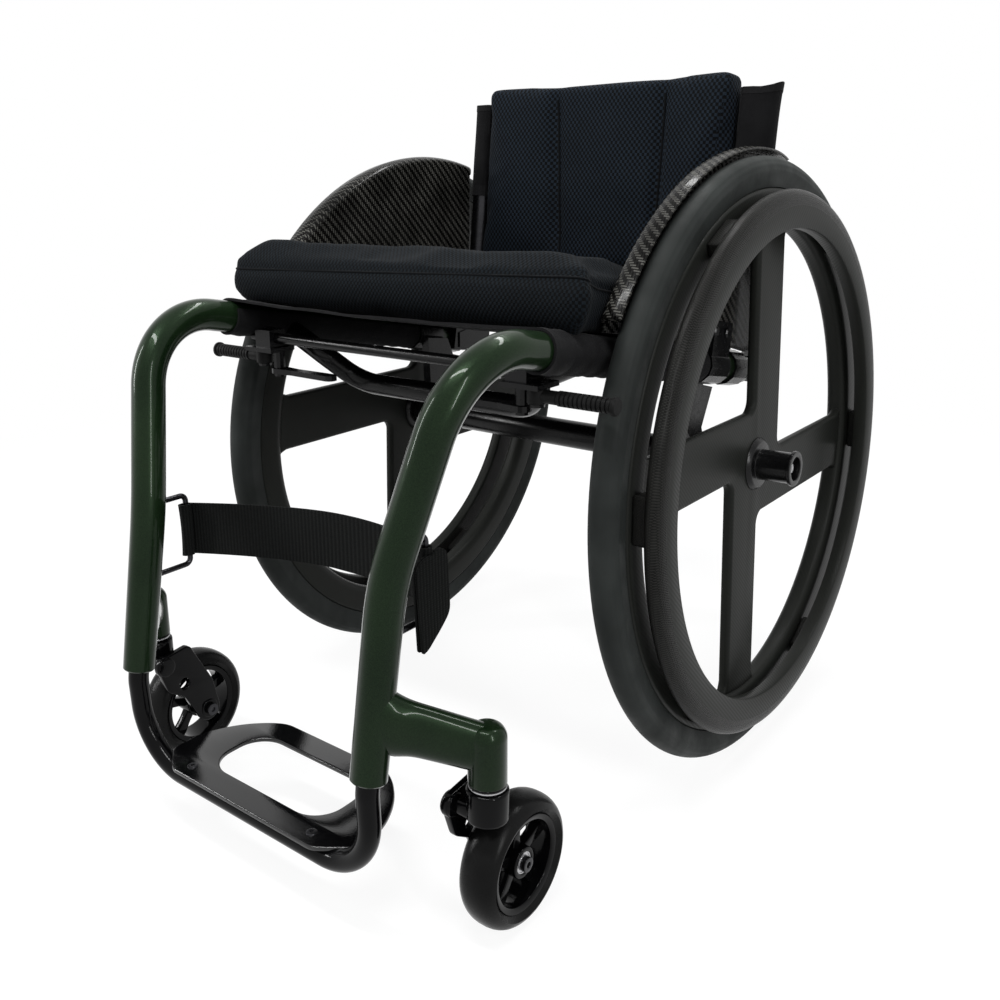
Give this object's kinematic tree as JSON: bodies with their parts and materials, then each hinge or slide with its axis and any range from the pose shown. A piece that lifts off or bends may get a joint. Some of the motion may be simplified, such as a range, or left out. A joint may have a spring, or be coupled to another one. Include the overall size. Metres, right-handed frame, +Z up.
{
  "type": "rigid ultralight wheelchair",
  "caption": "Rigid-frame manual wheelchair with spoked carbon wheels, handrims, casters, sling seat, fold-down back, brakes and footplate",
  "frame": {"origin": "floor point below the centre of the overall footprint; the wheels rest on z = 0", "axes": "+Z up, the user faces -Y, +X is the user's left"},
  "size_m": [0.5424, 0.8028, 0.6813],
  "materials": {
    "black_cloth": "black nylon cloth",
    "black_webbing": "black ribbed webbing",
    "brake_rubber": "matte black",
    "bright_steel": "bright",
    "carbon_fibre": "matte woven carbon fibre",
    "gloss_black": "gloss black",
    "guard_carbon": "semi-gloss twill carbon fibre",
    "metallic_green_paint": "clear-coated metallic dark green",
    "navy_mesh_fabric": "navy spacer mesh",
    "satin_black_metal": "satin black",
    "tyre_rubber": "smooth matte dark grey"
  },
  "bodies": {
    "frame": {"frame_side_left": "metallic_green_paint", "frame_side_right": "metallic_green_paint", "end_plug_left": "satin_black_metal", "end_plug_right": "satin_black_metal", "stem_bearing_left": "satin_black_metal", "stem_bearing_right": "satin_black_metal", "axle_sleeve_left": "bright_steel", "axle_sleeve_right": "bright_steel", "wheel_axle_left": "bright_steel", "wheel_axle_right": "bright_steel", "axle_bracket_left": "satin_black_metal", "axle_bracket_right": "satin_black_metal", "brake_mount_left": "satin_black_metal", "brake_mount_right": "satin_black_metal", "side_guard_left": "guard_carbon", "side_guard_right": "guard_carbon", "back_bracket_left": "satin_black_metal", "back_bracket_right": "satin_black_metal", "strap_ring_left": "bright_steel", "strap_ring_right": "bright_steel", "camber_tube": "satin_black_metal", "seat_sling": "black_cloth", "seat_cross_bar": "satin_black_metal", "front_cross_bar": "satin_black_metal", "seat_cushion": "navy_mesh_fabric", "calf_strap": "black_webbing"},
    "backrest": {"back_post_left": "satin_black_metal", "back_post_right": "satin_black_metal", "back_cross_bar": "satin_black_metal", "back_sling": "black_cloth", "back_cushion": "navy_mesh_fabric"},
    "footrest": {"footrest_tube": "gloss_black", "footplate": "gloss_black"},
    "left_wheel": {"rear_tyre_left": "tyre_rubber", "rear_wheel_left": "carbon_fibre", "handrim_left": "carbon_fibre", "wheel_hub_left": "satin_black_metal"},
    "left_caster_fork": {"caster_fork_left": "gloss_black", "caster_bolt_left": "bright_steel"},
    "left_caster_wheel": {"caster_tyre_left": "tyre_rubber", "caster_rim_left": "gloss_black", "caster_bearing_left": "bright_steel"},
    "left_axle_button": {"axle_button_left": "bright_steel"},
    "left_brake_lever": {"brake_lever_left": "satin_black_metal"},
    "left_brake_shoe": {"brake_shoe_left": "brake_rubber"},
    "right_wheel": {"rear_tyre_right": "tyre_rubber", "rear_wheel_right": "carbon_fibre", "handrim_right": "carbon_fibre", "wheel_hub_right": "satin_black_metal"},
    "right_caster_fork": {"caster_fork_right": "gloss_black", "caster_bolt_right": "bright_steel"},
    "right_caster_wheel": {"caster_tyre_right": "tyre_rubber", "caster_rim_right": "gloss_black", "caster_bearing_right": "bright_steel"},
    "right_axle_button": {"axle_button_right": "bright_steel"},
    "right_brake_lever": {"brake_lever_right": "satin_black_metal"},
    "right_brake_shoe": {"brake_shoe_right": "brake_rubber"}
  },
  "joints": [
    {"name": "left_wheel_spin", "type": "hinge", "parent": "frame", "child": "left_wheel", "pos_m": [0.2247, 0.10138, 0.29985], "axis": [0.9995, 0, 0.0325], "continuous": true},
    {"name": "left_axle_button_press", "type": "slide", "parent": "frame", "child": "left_axle_button", "axis": [-0.9995, 0, -0.0325], "range_m": [0, 0.004], "stiffness_N_per_m": 500, "springref_m": -0.002},
    {"name": "left_caster_swivel", "type": "hinge", "parent": "frame", "child": "left_caster_fork", "pos_m": [0.2112, -0.32482, 0.16], "axis": [0, 0, 1], "continuous": true},
    {"name": "left_caster_spin", "type": "hinge", "parent": "left_caster_fork", "child": "left_caster_wheel", "pos_m": [0.2085, -0.28822, 0.0559], "axis": [1, 0, 0], "continuous": true},
    {"name": "left_brake_lever_turn", "type": "hinge", "parent": "frame", "child": "left_brake_lever", "pos_m": [0.1483, -0.19209, 0.4019], "axis": [0, 0, 1], "range_deg": [0, 55]},
    {"name": "left_brake_shoe_turn", "type": "hinge", "parent": "frame", "child": "left_brake_shoe", "pos_m": [0.1656, -0.19579, 0.41525], "axis": [0, 0, 1], "range_deg": [0, 15]},
    {"name": "right_wheel_spin", "type": "hinge", "parent": "frame", "child": "right_wheel", "pos_m": [-0.2247, 0.10138, 0.29985], "axis": [-0.9995, 0, 0.0325], "continuous": true},
    {"name": "right_axle_button_press", "type": "slide", "parent": "frame", "child": "right_axle_button", "axis": [0.9995, 0, -0.0325], "range_m": [0, 0.004], "stiffness_N_per_m": 500, "springref_m": -0.002},
    {"name": "right_caster_swivel", "type": "hinge", "parent": "frame", "child": "right_caster_fork", "pos_m": [-0.2112, -0.32482, 0.16], "axis": [0, 0, 1], "continuous": true},
    {"name": "right_caster_spin", "type": "hinge", "parent": "right_caster_fork", "child": "right_caster_wheel", "pos_m": [-0.2085, -0.28822, 0.0559], "axis": [1, 0, 0], "continuous": true},
    {"name": "right_brake_lever_turn", "type": "hinge", "parent": "frame", "child": "right_brake_lever", "pos_m": [-0.1483, -0.19209, 0.4019], "axis": [0, 0, -1], "range_deg": [0, 55]},
    {"name": "right_brake_shoe_turn", "type": "hinge", "parent": "frame", "child": "right_brake_shoe", "pos_m": [-0.1656, -0.19579, 0.41525], "axis": [0, 0, -1], "range_deg": [0, 15]},
    {"name": "backrest_fold", "type": "hinge", "parent": "frame", "child": "backrest", "pos_m": [0, 0.17028, 0.4543], "axis": [1, 0, 0], "range_deg": [0, 34]},
    {"name": "footrest_slide", "type": "slide", "parent": "frame", "child": "footrest", "axis": [0, -0.1796, -0.9837], "range_m": [0, 0.02]}
  ],
  "couplings": [
    {"joint": "left_brake_shoe_turn", "follows": "left_brake_lever_turn", "ratio": 0.258},
    {"joint": "right_brake_shoe_turn", "follows": "right_brake_lever_turn", "ratio": 0.258}
  ]
}
